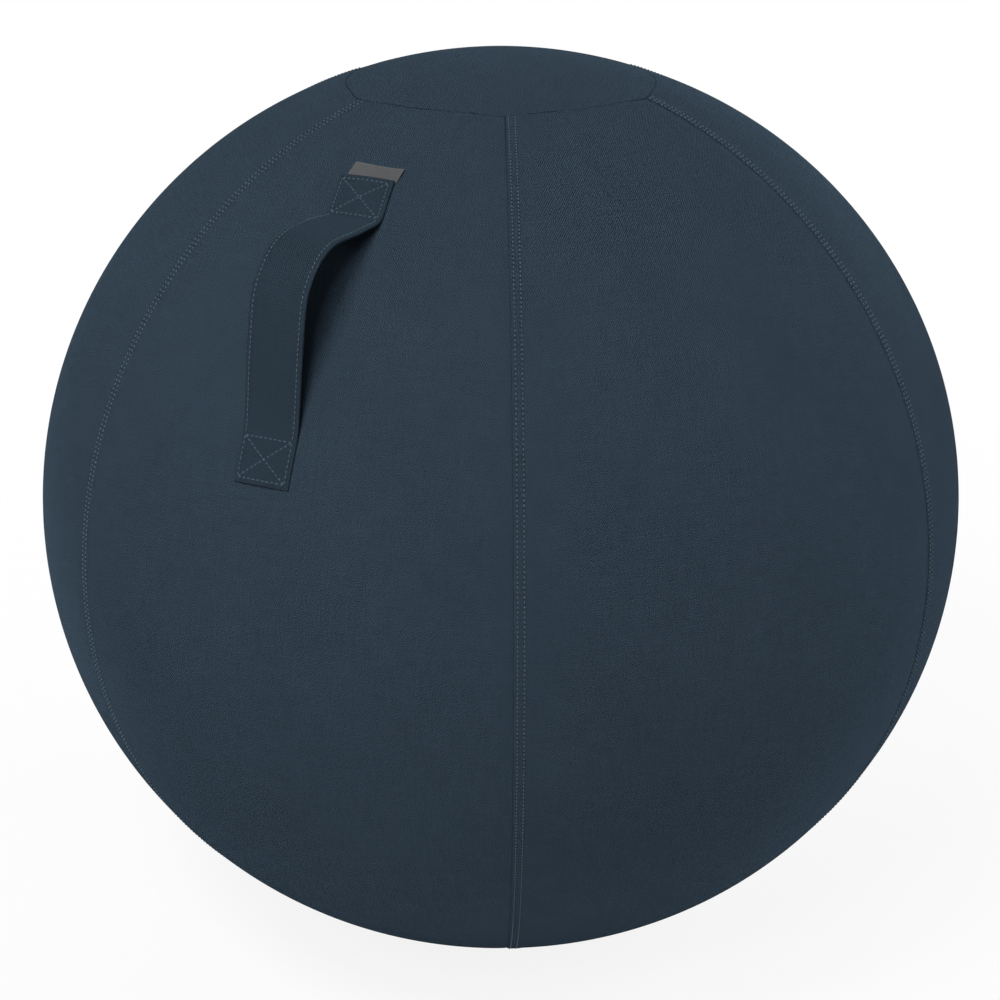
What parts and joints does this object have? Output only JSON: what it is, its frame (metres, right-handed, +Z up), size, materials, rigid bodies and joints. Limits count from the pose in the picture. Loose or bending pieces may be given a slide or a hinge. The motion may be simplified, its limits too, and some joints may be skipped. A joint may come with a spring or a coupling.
{
  "type": "sitting ball",
  "caption": "Inflated sitting ball in a sewn cloth cover with round top panel, weighted flat base, zip and carrying strap.",
  "frame": {"origin": "on the floor, under the middle of the ball", "axes": "+Z up along the ball's upright axis; the carrying strap is on the -Y side and the zip at the back"},
  "size_m": [0.6498, 0.6499, 0.6315],
  "materials": {
    "cover_cloth": "woven, matt with a soft sheen at the rim",
    "base_cloth": "black, with small raised grip dots",
    "strap_cloth": "woven like the cover, doubled and sewn",
    "label_cloth": "plain woven tape, no text",
    "ball_skin": "satin soft PVC",
    "plug_plastic": "moulded, matt",
    "weight_fill": "sand in a black cloth pouch",
    "zip_cloth": "woven tape",
    "zip_plastic": "moulded, satin",
    "zip_metal": "dark lacquer"
  },
  "bodies": {
    "ball": {"side_panel_front": "cover_cloth", "side_panel_front_right": "cover_cloth", "side_panel_rear_right": "cover_cloth", "side_panel_rear": "cover_cloth", "side_panel_rear_left": "cover_cloth", "side_panel_front_left": "cover_cloth", "top_panel": "cover_cloth", "base_panel": "base_cloth", "handle_end_upper": "strap_cloth", "handle_end_lower": "strap_cloth", "handle_leg_upper": "strap_cloth", "handle_leg_lower": "strap_cloth", "handle_label": "label_cloth", "inner_ball": "ball_skin", "valve_plug": "plug_plastic", "base_weight": "weight_fill", "zip_tape_left": "zip_cloth", "zip_tape_right": "zip_cloth", "zip_teeth_left": "zip_plastic", "zip_teeth_right": "zip_plastic", "zip_top_stop_left": "zip_metal", "zip_top_stop_right": "zip_metal", "zip_bottom_stop": "zip_metal"},
    "slider": {"zip_slider": "zip_metal"},
    "pull": {"zip_pull": "zip_metal"},
    "handle": {"handle_grip": "strap_cloth"}
  },
  "joints": [
    {"name": "zip_slide", "type": "hinge", "parent": "ball", "child": "slider", "pos_m": [-0.00325, 0.00563, 0.312], "axis": [-0.866, -0.5, 0], "range_deg": [0, 60], "deforming": ["zip_teeth_left", "zip_teeth_right"]},
    {"name": "pull_swing", "type": "hinge", "parent": "slider", "child": "pull", "pos_m": [-0.1642, 0.2844, 0.312], "axis": [0.866, 0.5, 0], "range_deg": [0, 165]},
    {"name": "handle_swing", "type": "hinge", "parent": "ball", "child": "handle", "pos_m": [0, -0.20166, 0.56541], "axis": [0, -0.6225, -0.7826], "range_deg": [-30, 30], "stiffness_Nm_per_rad": 0.05, "deforming": ["handle_leg_upper", "handle_leg_lower"]}
  ]
}
